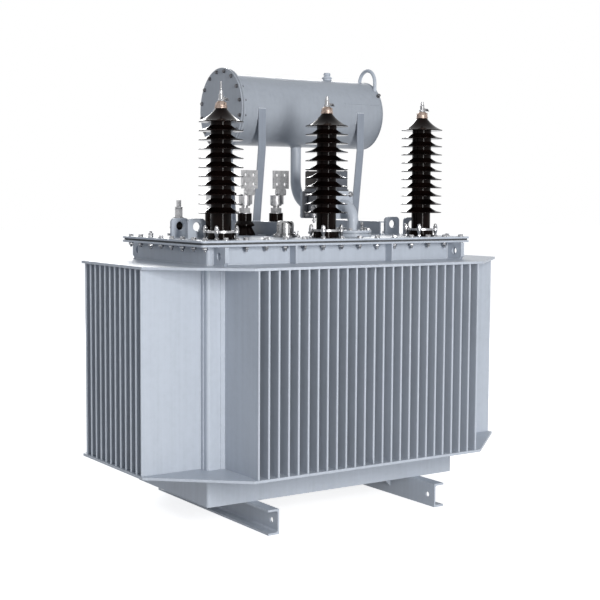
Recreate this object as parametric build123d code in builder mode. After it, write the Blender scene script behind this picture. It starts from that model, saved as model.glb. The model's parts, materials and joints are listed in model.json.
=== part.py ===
from build123d import *
import os

os.makedirs("parts", exist_ok=True)

# Oil-filled three-phase transformer, free-standing on two channel feet.
# X runs along the long side, -Y faces the high-voltage side, Z is up.
# The origin is on the floor, under the middle of the tank. Sizes are in millimetres.

# Tank
tank_length = 1243.0
tank_width = 598.0
tank_corner_radius = 12.0
foot_height = 100.0
neck_top = 1126.0
neck_height = 90.0

# Corrugated walls
fin_pitch = 45.0
fin_thickness = 9.0
fin_end_thickness = 3.0
fin_pinch_height = 22.0
fin_cut_clearance = 0.5
long_fin_count = 25
short_fin_count = 12
long_fin_depth = 250.0
short_fin_depth = 261.0
wall_sheet = 3.0
lower_plate_z = 237.0
fin_plate_thickness = 10.0
fin_plate_overhang = 5.0
quarter_turn = 90.0

# Flange, gasket and cover
rim_overhang_x = 48.0
rim_overhang_y = 47.0
rim_thickness = 8.0
rim_corner_radius = 14.0
gasket_thickness = 8.0
gasket_inset = 5.0
gasket_band = 38.0
cover_thickness = 8.0

# Channel feet
foot_length = 918.0
foot_width = 50.0
foot_web_inset = 229.5
foot_web = 6.0
foot_flange = 8.0
foot_root_radius = 8.0
foot_hole_radius = 11.0
foot_hole_inset = 46.0
foot_hole_z = 48.0
gusset_size = 66.0
gusset_thickness = 8.0
gusset_y = 150.0

# Ribs and lugs on the tank
rib_inset = 380.5
rib_thickness = 8.0
base_rib_height = 50.0
tank_lug_inset = 33.5
tank_lug_thickness = 16.0
tank_lug_reach = 92.0
tank_lug_hole_radius = 15.0
tank_lug_gap = 14.0

# Cover lifting lugs
cover_lug_inset = 72.5
cover_lug_ys = (-83.0, 57.0)
cover_lug_width = 80.0
cover_lug_height = 80.0
cover_lug_thickness = 12.0
cover_lug_corner = 18.0
cover_lug_hole_radius = 18.0
cover_lug_hole_z = 48.0

# High-voltage bushings
hv_end_inset = 115.5
hv_y = -205.0
hv_shed_count = 11
hv_shed_pitch = 35.6
hv_shed_radius = 89.0
hv_core_radius = 41.0
hv_foot_radius = 54.0
hv_foot_height = 26.0
hv_lower_height = 71.0
hv_shed_lip = 4.0
hv_shed_rise = 20.0
hv_shed_sag = 4.0
hv_cap_radius = 22.0
hv_cap_height = 50.0
hv_cap_waist_radius = 46.0
hv_cap_waist_height = 24.0
hv_clamp_radius = 58.0
hv_clamp_thickness = 9.0
hv_jaw_radius = 9.5
hv_jaw_height = 18.0
hv_stud_circle = 64.0
hv_stud_count = 4
hv_stud_turn = 45.0
hv_stud_radius = 5.0
hv_stud_height = 54.0
hv_head_radius = 24.0
hv_head_edge = 2.0
hv_head_bulge_height = 7.0
hv_head_height = 28.0
hv_head_top_radius = 13.0
hv_terminal_radius = 9.0
hv_terminal_height = 42.0
hv_tip_radius = 6.0
hv_tip_height = 17.0
hv_screw_radius = 4.0
hv_screw_length = 32.0
hv_screw_z = 9.0
arcing_rod_radius = 3.0
arcing_rod_height = 34.0

# Low-voltage bushings
lv_pitch = 163.0
lv_beam_offset = 78.0
lv_y = 215.0
lv_height = 95.0
lv_top_radius = 31.0
lv_shed_radius = 43.0
lv_foot_radius = 47.0
lv_stud_radius = 14.0
lv_nut_radius = 27.0
lv_nut_height = 25.0
lv_stud_height = 12.0
lv_clamp_radius = 26.0
lv_clamp_height = 42.0
flag_size = 80.0
flag_thickness = 10.0
flag_offset = 24.0
flag_neck_height = 30.0
flag_neck_width = 52.0
flag_neck_corner = 8.0
flag_hole_radius = 7.0
flag_hole_pitch = 40.0

# Heights on a short porcelain, as parts of its whole height
short_foot_edge = 0.06
short_waist = 0.38
short_shed_under = 0.44
short_shed_top = 0.50
short_shoulder = 0.66

# Neutral bushing
neutral_height = 78.0
neutral_foot_radius = 30.0
neutral_top_radius = 24.0
neutral_shed_radius = 38.0
neutral_stud_radius = 10.0
neutral_stud_height = 74.0
neutral_nut_radius = 18.0
neutral_nut_height = 18.0

# Pressure relief valve
relief_x = -125.0
relief_y = -85.0
relief_radius = 36.0
relief_rim_radius = 42.0
relief_base_radius = 50.0
relief_base_height = 8.0
relief_rim_height = 6.0
relief_shoulder = 3.0
relief_dome_radius = 16.0
relief_height = 69.0

# Conservator
conservator_y = 369.0
conservator_height = 553.0
conservator_radius = 156.0
conservator_length = 763.0
conservator_end_inset = 12.5
conservator_dish = 31.0
end_plate_radius = 182.0
end_plate_thickness = 8.0
end_gasket_thickness = 3.0
end_gasket_inset = 4.0
end_ring_thickness = 8.0
eye_end_inset = 9.0
eye_ys = (262.0, 382.0)
eye_top_height = 210.0
eye_bar_radius = 8.0
cap_end_inset = 208.0
cap_radius = 20.0
cap_step_radius = 14.0
cap_height = 36.0
weld_bite = 6.0

# Conservator supports
beam_spacing = 536.0
beam_end_inset = 129.0
beam_width = 40.0
beam_height = 60.0
beam_wall = 5.0
beam_front_y = 28.0
beam_rear_y = 512.0
leg_width = 37.0
leg_thickness = 6.0
leg_web = 30.0
leg_foot_half_span = 119.0
leg_bend_drop = 171.0

# Pipework
pipe_end_inset = 381.0
pipe_radius = 24.0
pipe_axis_height = 134.0
pipe_bite = 12.0
pipe_straight = 20.0
relay_flange_size = 122.0
relay_flange_corner = 8.0
relay_flange_thickness = 16.0
relay_rear_y = 222.0
relay_front_y = 20.0
relay_width = 122.0
relay_body_height = 112.0
relay_head_height = 149.0
relay_head_inset = 2.0
relay_side_inset = 10.0
relay_end_inset = 12.0
relay_tube_wall = 12.0
relay_corner = 10.0
tank_pipe_y = -82.0
tank_pipe_bend_radius = 72.0
pad_radius = 80.0
pad_height = 10.0
pad_gasket = 6.0
pad_gasket_inset = 12.0
pad_flange_thickness = 10.0

# Values worked out from the sizes above
half_length = tank_length / 2
half_width = tank_width / 2
upper_plate_z = neck_top - neck_height
rim_bottom = neck_top - rim_thickness
gasket_top = neck_top + gasket_thickness
cover_top = gasket_top + cover_thickness
conservator_z = cover_top + conservator_height
eye_top_z = conservator_z + eye_top_height
leg_bend_z = conservator_z - leg_bend_drop
pipe_axis_z = cover_top + pipe_axis_height
relay_head_top = pipe_axis_z + relay_head_height
fin_bottom = lower_plate_z + fin_plate_thickness
fin_height = upper_plate_z - fin_bottom
long_nose_y = half_width + long_fin_depth
short_nose_x = half_length + short_fin_depth
long_bank_half = long_fin_count * fin_pitch / 2
short_bank_half = short_fin_count * fin_pitch / 2
foot_web_x = half_length - foot_web_inset
rib_x = half_length - rib_inset
tank_lug_x = half_length - tank_lug_inset
cover_lug_x = half_length - cover_lug_inset
hv_pitch = half_length - hv_end_inset
hv_xs = [hv_pitch * i for i in (-1, 0, 1)]
conservator_right_x = half_length - conservator_end_inset
conservator_left_x = conservator_right_x - conservator_length
eye_x = conservator_right_x - eye_end_inset
cap_x = conservator_right_x - cap_end_inset
pipe_x = conservator_right_x - pipe_end_inset
right_beam_x = conservator_right_x - beam_end_inset
left_beam_x = right_beam_x - beam_spacing
lv_last_x = left_beam_x + lv_beam_offset
lv_xs = [lv_last_x - lv_pitch * i for i in (2, 1, 0)]
neutral_x = lv_last_x - 3 * lv_pitch


def save(part, name):
    part.label = name
    export_step(part, f"parts/{name}.step")


def upright(x, y, z):
    """A plane facing -Y: its own x is X and its own y is Z."""
    return Plane((x, y, z), x_dir=(1, 0, 0), z_dir=(0, -1, 0))


# Tank body, a closed welded box that also forms the neck under the cover
with BuildPart() as tank_body:
    with BuildSketch(Plane.XY.offset(foot_height)):
        RectangleRounded(tank_length, tank_width, tank_corner_radius)
    extrude(amount=neck_top - foot_height)
save(tank_body.part, "tank_body")


def fin_bank(count, depth):
    """One corrugated wall, standing on z = 0 with its sheet on y = 0 and its fins towards -Y."""
    length = count * fin_pitch
    pinch = (fin_thickness - fin_end_thickness) / 2
    cut_x = fin_thickness / 2 + fin_cut_clearance
    with BuildPart() as bank:
        with BuildSketch():
            with Locations((0, -wall_sheet / 2)):
                Rectangle(length, wall_sheet)
            with GridLocations(fin_pitch, 1, count, 1):
                with Locations((0, -(depth - fin_thickness / 2) / 2)):
                    Rectangle(fin_thickness, depth - fin_thickness / 2)
                with Locations((0, -(depth - fin_thickness / 2))):
                    Circle(fin_thickness / 2)
        extrude(amount=fin_height)
        # The ends of each fin are pressed together and welded
        with BuildSketch(Plane.XZ.offset(wall_sheet)):
            for end, direction in ((0, 1), (fin_height, -1)):
                for side in (-1, 1):
                    with GridLocations(fin_pitch, 1, count, 1):
                        with BuildLine():
                            Polyline(
                                (side * (fin_thickness / 2 - pinch), end),
                                (side * cut_x, end),
                                (side * cut_x, end + direction * fin_pinch_height),
                                (side * fin_thickness / 2, end + direction * fin_pinch_height),
                                close=True,
                            )
                        make_face()
        extrude(amount=depth, mode=Mode.SUBTRACT)
    return bank.part


long_bank = fin_bank(long_fin_count, long_fin_depth)
short_bank = fin_bank(short_fin_count, short_fin_depth)
fin_walls = {
    "front_fins": (long_bank, (0, -half_width), 0),
    "rear_fins": (long_bank, (0, half_width), 2 * quarter_turn),
    "left_fins": (short_bank, (-half_length, 0), -quarter_turn),
    "right_fins": (short_bank, (half_length, 0), quarter_turn),
}
for name, (bank, (x, y), turn) in fin_walls.items():
    with BuildPart() as fins:
        with Locations(Location((x, y, fin_bottom), (0, 0, turn))):
            add(bank)
    save(fins.part, name)


# Closing plates above and below the fins: rings with cut corners
def fin_plate(name, z):
    edge_y = long_nose_y + fin_plate_overhang
    edge_x = short_nose_x + fin_plate_overhang
    corner_x = long_bank_half
    corner_y = short_bank_half
    with BuildPart() as plate:
        with BuildSketch(Plane.XY.offset(z)):
            with BuildLine():
                Polyline(
                    (-corner_x, -edge_y),
                    (corner_x, -edge_y),
                    (edge_x, -corner_y),
                    (edge_x, corner_y),
                    (corner_x, edge_y),
                    (-corner_x, edge_y),
                    (-edge_x, corner_y),
                    (-edge_x, -corner_y),
                    close=True,
                )
            make_face()
            RectangleRounded(tank_length, tank_width, tank_corner_radius, mode=Mode.SUBTRACT)
        extrude(amount=fin_plate_thickness)
    save(plate.part, name)


fin_plate("lower_fin_plate", lower_plate_z)
fin_plate("upper_fin_plate", upper_plate_z)

# Flange welded round the neck
rim_length = tank_length + 2 * rim_overhang_x
rim_width = tank_width + 2 * rim_overhang_y
with BuildPart() as tank_rim:
    with BuildSketch(Plane.XY.offset(rim_bottom)):
        RectangleRounded(rim_length, rim_width, rim_corner_radius)
        RectangleRounded(tank_length, tank_width, tank_corner_radius, mode=Mode.SUBTRACT)
    extrude(amount=rim_thickness)
save(tank_rim.part, "tank_rim")

# Flat gasket between the flange and the cover
gasket_length = rim_length - 2 * gasket_inset
gasket_width = rim_width - 2 * gasket_inset
with BuildPart() as cover_gasket:
    with BuildSketch(Plane.XY.offset(neck_top)):
        RectangleRounded(gasket_length, gasket_width, rim_corner_radius)
        Rectangle(gasket_length - 2 * gasket_band, gasket_width - 2 * gasket_band, mode=Mode.SUBTRACT)
    extrude(amount=gasket_thickness)
save(cover_gasket.part, "cover_gasket")

# Cover
with BuildPart() as tank_cover:
    with BuildSketch(Plane.XY.offset(gasket_top)):
        RectangleRounded(rim_length, rim_width, rim_corner_radius)
    extrude(amount=cover_thickness)
save(tank_cover.part, "tank_cover")


# Feet: two channels with their webs towards each other
def channel_foot(name, side):
    web_face = side * foot_web_x
    with BuildPart() as foot:
        with BuildSketch(Plane.XZ.offset(-foot_length / 2)):
            with Locations((web_face + side * foot_width / 2, foot_height / 2)):
                Rectangle(foot_width, foot_height)
            with Locations((web_face + side * (foot_web + foot_width / 2), foot_height / 2)):
                Rectangle(foot_width, foot_height - 2 * foot_flange, mode=Mode.SUBTRACT)
        extrude(amount=foot_length)
        roots = foot.edges().filter_by(Axis.Y).group_by(Axis.X)[1 if side > 0 else -2]
        fillet(roots, foot_root_radius)
        with BuildSketch(Plane.YZ.offset(web_face - foot_web)):
            with Locations((0, foot_hole_z)):
                with GridLocations(foot_length - 2 * foot_hole_inset, 1, 2, 1):
                    Circle(foot_hole_radius)
        extrude(amount=2 * foot_web, mode=Mode.SUBTRACT)
    save(foot.part, name)


channel_foot("left_foot", -1)
channel_foot("right_foot", 1)

# Small gussets between the feet and the tank floor
with BuildPart() as foot_gussets:
    for side in (-1, 1):
        for y in (-gusset_y, gusset_y):
            with BuildSketch(Plane.XZ.offset(-y - gusset_thickness / 2)):
                with BuildLine():
                    Polyline(
                        (side * foot_web_x, foot_height),
                        (side * (foot_web_x - gusset_size), foot_height),
                        (side * foot_web_x, foot_height - gusset_size),
                        close=True,
                    )
                make_face()
            extrude(amount=gusset_thickness)
save(foot_gussets.part, "foot_gussets")


# Ribs that carry the overhang of the flange and of the lower closing plate
def wall_ribs(name, bottom, height):
    with BuildPart() as ribs:
        for side in (-1, 1):
            y = side * (half_width + rim_overhang_y / 2)
            with Locations((-rib_x, y, bottom), (rib_x, y, bottom)):
                Box(rib_thickness, rim_overhang_y, height, align=(Align.CENTER, Align.CENTER, Align.MIN))
    save(ribs.part, name)


neck_bottom = upper_plate_z + fin_plate_thickness
wall_ribs("neck_ribs", neck_bottom, rim_bottom - neck_bottom)
wall_ribs("base_ribs", lower_plate_z - base_rib_height, base_rib_height)

# Lifting lugs beside the neck, one near each end of both long walls
lug_top = rim_bottom
lug_bottom = neck_bottom
with BuildPart() as tank_lugs:
    for side in (-1, 1):
        for x in (-tank_lug_x, tank_lug_x):
            wall = side * half_width
            with BuildSketch(Plane.YZ.offset(x - tank_lug_thickness / 2)):
                with BuildLine():
                    Polyline(
                        (wall, lug_bottom),
                        (wall + side * (tank_lug_reach - tank_lug_gap), lug_bottom),
                        (wall + side * tank_lug_reach, lug_bottom + tank_lug_gap),
                        (wall + side * tank_lug_reach, lug_top),
                        (wall, lug_top),
                        close=True,
                    )
                make_face()
                with Locations((wall + side * tank_lug_reach / 2, (lug_top + lug_bottom) / 2)):
                    Circle(tank_lug_hole_radius, mode=Mode.SUBTRACT)
            extrude(amount=tank_lug_thickness)
save(tank_lugs.part, "tank_lifting_lugs")

# Lifting lugs standing on the cover
with BuildPart() as cover_lugs:
    for y in cover_lug_ys:
        with BuildSketch(Plane.XZ.offset(-y - cover_lug_thickness / 2)):
            for x in (-cover_lug_x, cover_lug_x):
                with Locations((x, cover_top + cover_lug_height / 2)):
                    Rectangle(cover_lug_width, cover_lug_height)
        extrude(amount=cover_lug_thickness)
    top_corners = cover_lugs.edges().filter_by(Axis.Y).group_by(Axis.Z)[-1]
    fillet(top_corners, cover_lug_corner)
    for y in cover_lug_ys:
        with BuildSketch(Plane.XZ.offset(-y - cover_lug_thickness)):
            for x in (-cover_lug_x, cover_lug_x):
                with Locations((x, cover_top + cover_lug_hole_z)):
                    Circle(cover_lug_hole_radius)
        extrude(amount=2 * cover_lug_thickness, mode=Mode.SUBTRACT)
save(cover_lugs.part, "cover_lifting_lugs")


# High-voltage bushings
hv_first_shed_z = hv_foot_height + hv_clamp_thickness + hv_lower_height
hv_top_shed_z = hv_first_shed_z + (hv_shed_count - 1) * hv_shed_pitch
hv_porcelain_top = hv_top_shed_z + hv_cap_height


def hv_porcelain(x):
    """Porcelain standing on the cover: a foot, a plain stem and a stack of umbrella sheds."""
    clamp_z = hv_foot_height
    with BuildPart() as porcelain:
        with BuildSketch(upright(x, hv_y, cover_top)):
            with BuildLine():
                foot = Polyline(
                    (0, 0),
                    (hv_foot_radius, 0),
                    (hv_foot_radius, clamp_z),
                    (hv_core_radius, clamp_z),
                    (hv_core_radius, hv_first_shed_z - hv_shed_lip),
                )
                here = foot @ 1
                for i in range(hv_shed_count):
                    z = hv_first_shed_z + i * hv_shed_pitch
                    under = Line(here, (hv_shed_radius - hv_shed_lip / 2, z - hv_shed_lip))
                    nose = ThreePointArc(
                        under @ 1,
                        (hv_shed_radius, z - hv_shed_lip / 2),
                        (hv_shed_radius - hv_shed_lip / 2, z),
                    )
                    if i < hv_shed_count - 1:
                        slope = ThreePointArc(
                            nose @ 1,
                            ((hv_shed_radius + hv_core_radius) / 2, z + hv_shed_rise / 2 - hv_shed_sag),
                            (hv_core_radius, z + hv_shed_rise),
                        )
                        stem = Line(slope @ 1, (hv_core_radius, z + hv_shed_pitch - hv_shed_lip))
                        here = stem @ 1
                cone = ThreePointArc(
                    nose @ 1,
                    (hv_cap_waist_radius, hv_top_shed_z + hv_cap_waist_height),
                    (hv_cap_radius, hv_porcelain_top),
                )
                Polyline(cone @ 1, (0, hv_porcelain_top), (0, 0))
            make_face()
        revolve(axis=Axis((x, hv_y, 0), (0, 0, 1)))
    return porcelain.part


def hv_clamp(x):
    """Clamping ring round the stem, held down on the porcelain foot by four studs through conical jaws."""
    ring_z = cover_top + hv_foot_height
    with BuildPart() as clamp:
        with BuildSketch(Plane((x, hv_y, ring_z))):
            Circle(hv_clamp_radius)
            with PolarLocations(hv_stud_circle, hv_stud_count, start_angle=hv_stud_turn):
                Circle(hv_jaw_radius)
            Circle(hv_core_radius, mode=Mode.SUBTRACT)
        extrude(amount=hv_clamp_thickness)
        with Locations((x, hv_y, ring_z)):
            with PolarLocations(hv_stud_circle, hv_stud_count, start_angle=hv_stud_turn):
                Cone(
                    hv_stud_radius,
                    hv_jaw_radius,
                    hv_jaw_height,
                    align=(Align.CENTER, Align.CENTER, Align.MAX),
                )
        with BuildSketch(Plane((x, hv_y, cover_top))):
            with PolarLocations(hv_stud_circle, hv_stud_count, start_angle=hv_stud_turn):
                Circle(hv_stud_radius)
        extrude(amount=hv_stud_height)
    return clamp.part


def hv_terminal(x, with_rod):
    """Domed bronze head with a side screw, and the stepped stud above it."""
    head_z = cover_top + hv_porcelain_top
    stud_z = head_z + hv_head_height
    stud_top = stud_z + hv_terminal_height
    with BuildPart() as terminal:
        with BuildSketch(upright(x, hv_y, head_z)):
            with BuildLine():
                side = Polyline(
                    (0, 0),
                    (hv_head_radius - hv_head_edge, 0),
                    (hv_head_radius, hv_head_bulge_height),
                )
                dome = TangentArc(side @ 1, (hv_head_top_radius, hv_head_height), tangent=(0, 1))
                Polyline(dome @ 1, (0, hv_head_height), (0, 0))
            make_face()
        revolve(axis=Axis((x, hv_y, 0), (0, 0, 1)))
        with BuildSketch(Plane((x, hv_y, stud_z))):
            Circle(hv_terminal_radius)
        extrude(amount=hv_terminal_height - hv_tip_height)
        with BuildSketch(Plane((x, hv_y, stud_top - hv_tip_height))):
            Circle(hv_tip_radius)
        extrude(amount=hv_tip_height)
        with BuildSketch(Plane((x, hv_y, stud_z + hv_screw_z), x_dir=(0, 1, 0), z_dir=(1, 0, 0))):
            Circle(hv_screw_radius)
        extrude(amount=hv_screw_length)
        if with_rod:
            with BuildSketch(Plane((x, hv_y, stud_top))):
                Circle(arcing_rod_radius)
            extrude(amount=arcing_rod_height)
    return terminal.part


for i, x in enumerate(hv_xs, start=1):
    save(hv_porcelain(x), f"hv_porcelain_{i}")
    save(hv_clamp(x), f"hv_clamp_{i}")
    save(hv_terminal(x, with_rod=(i == 1)), f"hv_terminal_{i}")


# Low-voltage bushings
def short_porcelain(x, height, top_radius, shed_radius, foot_radius):
    """Short porcelain with one shed and a flared skirt."""
    with BuildPart() as porcelain:
        with BuildSketch(upright(x, lv_y, cover_top)):
            with BuildLine():
                Polyline(
                    (0, 0),
                    (foot_radius, 0),
                    (foot_radius, height * short_foot_edge),
                    (top_radius, height * short_waist),
                    (shed_radius, height * short_shed_under),
                    (shed_radius, height * short_shed_top),
                    (top_radius, height * short_shoulder),
                    (top_radius, height),
                    (0, height),
                    close=True,
                )
            make_face()
        revolve(axis=Axis((x, lv_y, 0), (0, 0, 1)))
    return porcelain.part


def lv_terminal(x):
    """Nut, stud, clamp and flag plate of one low-voltage terminal."""
    nut_z = cover_top + lv_height
    clamp_z = nut_z + lv_nut_height + lv_stud_height
    neck_z = clamp_z + lv_clamp_height
    flag_z = neck_z + flag_neck_height
    with BuildPart() as terminal:
        with BuildSketch(Plane((x, lv_y, nut_z))):
            RegularPolygon(lv_nut_radius, 6)
        extrude(amount=lv_nut_height)
        with BuildSketch(Plane((x, lv_y, nut_z))):
            Circle(lv_stud_radius)
        extrude(amount=lv_nut_height + lv_stud_height)
        with BuildSketch(Plane((x, lv_y, clamp_z))):
            Circle(lv_clamp_radius)
        extrude(amount=lv_clamp_height)
        with BuildSketch(upright(x + flag_offset, lv_y + flag_thickness / 2, neck_z)):
            Rectangle(flag_neck_width, flag_neck_height, align=(Align.CENTER, Align.MIN))
            lower_corners = vertices().group_by(Axis.Z)[0]
            fillet(lower_corners, flag_neck_corner)
            with Locations((0, flag_neck_height + flag_size / 2)):
                Rectangle(flag_size, flag_size)
                with GridLocations(flag_hole_pitch, flag_hole_pitch, 2, 2):
                    Circle(flag_hole_radius, mode=Mode.SUBTRACT)
        extrude(amount=flag_thickness)
    return terminal.part


for i, x in enumerate(lv_xs, start=1):
    save(short_porcelain(x, lv_height, lv_top_radius, lv_shed_radius, lv_foot_radius), f"lv_porcelain_{i}")
    save(lv_terminal(x), f"lv_terminal_{i}")

# Neutral bushing
save(
    short_porcelain(neutral_x, neutral_height, neutral_top_radius, neutral_shed_radius, neutral_foot_radius),
    "neutral_porcelain",
)
neutral_nut_z = cover_top + neutral_height
with BuildPart() as neutral_terminal:
    with BuildSketch(Plane((neutral_x, lv_y, neutral_nut_z))):
        Circle(neutral_stud_radius)
    extrude(amount=neutral_stud_height)
    with BuildSketch(Plane((neutral_x, lv_y, neutral_nut_z))):
        RegularPolygon(neutral_nut_radius, 6)
    extrude(amount=2 * neutral_nut_height)
save(neutral_terminal.part, "neutral_terminal")

# Pressure relief valve: a polished dome on a ring
dome_foot = relief_base_height + relief_rim_height
with BuildPart() as relief_valve:
    with BuildSketch(upright(relief_x, relief_y, cover_top)):
        with BuildLine():
            base = Polyline(
                (0, 0),
                (relief_base_radius, 0),
                (relief_base_radius, relief_base_height),
                (relief_rim_radius, relief_base_height),
                (relief_rim_radius, dome_foot),
                (relief_radius, dome_foot + relief_shoulder),
                (relief_radius, relief_height - relief_dome_radius),
            )
            dome = TangentArc(base @ 1, (relief_radius - relief_dome_radius, relief_height), tangent=(0, 1))
            Polyline(dome @ 1, (0, relief_height), (0, 0))
        make_face()
    revolve(axis=Axis((relief_x, relief_y, 0), (0, 0, 1)))
save(relief_valve.part, "relief_valve")

# Conservator shell: a cylinder with a dished right end and a bolting ring at the left
ring_x = conservator_left_x - end_ring_thickness
with BuildPart() as conservator_shell:
    with BuildSketch(upright(0, conservator_y, conservator_z)):
        with BuildLine():
            Polyline(
                (ring_x, 0),
                (ring_x, end_plate_radius),
                (conservator_left_x, end_plate_radius),
                (conservator_left_x, conservator_radius),
                (conservator_right_x, conservator_radius),
            )
            EllipticalCenterArc(
                (conservator_right_x, 0),
                conservator_dish,
                conservator_radius,
                start_angle=0,
                arc_size=quarter_turn,
            )
            Line((conservator_right_x + conservator_dish, 0), (ring_x, 0))
        make_face()
    revolve(axis=Axis((0, conservator_y, conservator_z), (1, 0, 0)))
save(conservator_shell.part, "conservator_shell")


def end_disc(name, x, thickness, radius):
    with BuildPart() as disc:
        with BuildSketch(Plane.YZ.offset(x)):
            with Locations((conservator_y, conservator_z)):
                Circle(radius)
        extrude(amount=thickness)
    save(disc.part, name)


gasket_x = ring_x - end_gasket_thickness
end_disc("conservator_gasket", gasket_x, end_gasket_thickness, end_plate_radius - end_gasket_inset)
end_disc("conservator_end_plate", gasket_x - end_plate_thickness, end_plate_thickness, end_plate_radius)

# Lifting eye bent from round bar: it stands across the shell, and its front leg reaches down the near side
shell_top = conservator_z + conservator_radius
eye_half = (eye_ys[1] - eye_ys[0]) / 2
eye_middle_y = (eye_ys[0] + eye_ys[1]) / 2
eye_spring_z = eye_top_z - eye_half
with BuildPart() as lifting_eye:
    with BuildLine() as eye_path:
        front_leg = Line((eye_x, eye_ys[0], shell_top - eye_half), (eye_x, eye_ys[0], eye_spring_z))
        ThreePointArc(front_leg @ 1, (eye_x, eye_middle_y, eye_top_z), (eye_x, eye_ys[1], eye_spring_z))
    with BuildSketch(Plane((eye_x, eye_ys[0], shell_top - eye_half))):
        Circle(eye_bar_radius)
    sweep(path=eye_path.line)
    add(conservator_shell.part, mode=Mode.SUBTRACT)
save(lifting_eye.part, "lifting_eye")

# Filler cap: a short neck with a smaller cap on top
cap_step_z = shell_top + cap_height / 2
with BuildPart() as filler_cap:
    with BuildSketch(Plane((cap_x, conservator_y, shell_top - weld_bite))):
        Circle(cap_radius)
    extrude(amount=weld_bite + cap_height / 2)
    with BuildSketch(Plane((cap_x, conservator_y, cap_step_z))):
        Circle(cap_step_radius)
    extrude(amount=cap_height / 2)
    add(conservator_shell.part, mode=Mode.SUBTRACT)
save(filler_cap.part, "filler_cap")


# Supports: a channel lying across the cover, and two bent legs that cradle the conservator
def support(name, x):
    beam_top = cover_top + beam_height
    left = x - leg_width / 2
    with BuildPart() as frame:
        with BuildSketch(Plane.XZ.offset(-beam_rear_y)):
            with Locations((x, cover_top + beam_height / 2)):
                Rectangle(beam_width, beam_height)
            with Locations((x + beam_wall, cover_top + beam_height / 2)):
                Rectangle(beam_width, beam_height - 2 * beam_wall, mode=Mode.SUBTRACT)
        extrude(amount=beam_rear_y - beam_front_y)
        for side in (-1, 1):
            foot_y = conservator_y + side * leg_foot_half_span
            outer_y = conservator_y + side * (conservator_radius + leg_thickness)
            inner = -side * leg_thickness
            with BuildSketch(Plane.YZ.offset(left)):
                with BuildLine():
                    Polyline(
                        (foot_y, beam_top),
                        (outer_y, leg_bend_z),
                        (outer_y, conservator_z),
                        (outer_y + inner, conservator_z),
                        (outer_y + inner, leg_bend_z),
                        (foot_y + inner, beam_top),
                        close=True,
                    )
                make_face()
            extrude(amount=leg_width)
            with BuildSketch(Plane.YZ.offset(left + leg_width - leg_thickness)):
                with BuildLine():
                    Polyline(
                        (foot_y + inner, beam_top),
                        (outer_y + inner, leg_bend_z),
                        (outer_y + inner, conservator_z),
                        (outer_y - side * (leg_web + leg_thickness), leg_bend_z + leg_web),
                        (outer_y - side * (leg_web + leg_thickness), leg_bend_z),
                        (foot_y - side * leg_web, beam_top),
                        close=True,
                    )
                make_face()
            extrude(amount=leg_thickness)
        add(conservator_shell.part, mode=Mode.SUBTRACT)
    save(frame.part, name)


support("left_support", left_beam_x)
support("right_support", right_beam_x)

# Pipe from the conservator down to the gas relay
pipe_top = conservator_z - conservator_radius
rear_flange_y = relay_rear_y + relay_flange_thickness
with BuildPart() as conservator_pipe:
    with BuildLine() as drop_path:
        FilletPolyline(
            (pipe_x, conservator_y, pipe_top + pipe_bite),
            (pipe_x, conservator_y, pipe_axis_z),
            (pipe_x, rear_flange_y, pipe_axis_z),
            radius=conservator_y - rear_flange_y - pipe_straight,
        )
    with BuildSketch(Plane((pipe_x, conservator_y, pipe_top + pipe_bite))):
        Circle(pipe_radius)
    sweep(path=drop_path.line)
    with BuildSketch(upright(pipe_x, rear_flange_y, pipe_axis_z)):
        RectangleRounded(relay_flange_size, relay_flange_size, relay_flange_corner)
    extrude(amount=relay_flange_thickness)
    add(conservator_shell.part, mode=Mode.SUBTRACT)
save(conservator_pipe.part, "conservator_pipe")

# Gas relay: a cast body between two flanges with a boxy head on top
relay_centre_y = (relay_rear_y + relay_front_y) / 2
relay_between = relay_rear_y - relay_front_y - 2 * relay_flange_thickness
relay_body_width = relay_width - 2 * relay_side_inset
relay_body_length = relay_between - 2 * relay_end_inset
with BuildPart() as relay_body:
    for y in (relay_rear_y, relay_front_y + relay_flange_thickness):
        with BuildSketch(upright(pipe_x, y, pipe_axis_z)):
            RectangleRounded(relay_flange_size, relay_flange_size, relay_flange_corner)
        extrude(amount=relay_flange_thickness)
    with BuildSketch(upright(pipe_x, relay_rear_y, pipe_axis_z)):
        Circle(pipe_radius + relay_tube_wall)
    extrude(amount=relay_rear_y - relay_front_y)
    with BuildSketch(Plane.XY.offset(pipe_axis_z - relay_body_height / 2)):
        with Locations((pipe_x, relay_centre_y)):
            RectangleRounded(relay_body_width, relay_body_length, relay_corner)
    extrude(amount=relay_body_height)
save(relay_body.part, "gas_relay_body")

relay_top = pipe_axis_z + relay_body_height / 2
with BuildPart() as relay_head:
    with BuildSketch(Plane.XY.offset(relay_top)):
        with Locations((pipe_x, relay_centre_y)):
            RectangleRounded(relay_width, relay_between - 2 * relay_head_inset, relay_corner)
    extrude(amount=relay_head_top - relay_top)
save(relay_head.part, "gas_relay_head")

# Pipe from the gas relay down to the cover
pad_top = cover_top + pad_height
pipe_flange_z = pad_top + pad_gasket
front_flange_y = relay_front_y - relay_flange_thickness
with BuildPart() as tank_pipe:
    with BuildSketch(upright(pipe_x, relay_front_y, pipe_axis_z)):
        RectangleRounded(relay_flange_size, relay_flange_size, relay_flange_corner)
    extrude(amount=relay_flange_thickness)
    with BuildLine() as run_path:
        FilletPolyline(
            (pipe_x, front_flange_y, pipe_axis_z),
            (pipe_x, tank_pipe_y, pipe_axis_z),
            (pipe_x, tank_pipe_y, pipe_flange_z),
            radius=tank_pipe_bend_radius,
        )
    with BuildSketch(upright(pipe_x, front_flange_y, pipe_axis_z)):
        Circle(pipe_radius)
    sweep(path=run_path.line)
    with BuildSketch(Plane((pipe_x, tank_pipe_y, pipe_flange_z))):
        Circle(pad_radius)
    extrude(amount=pad_flange_thickness)
save(tank_pipe.part, "tank_pipe")

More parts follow.
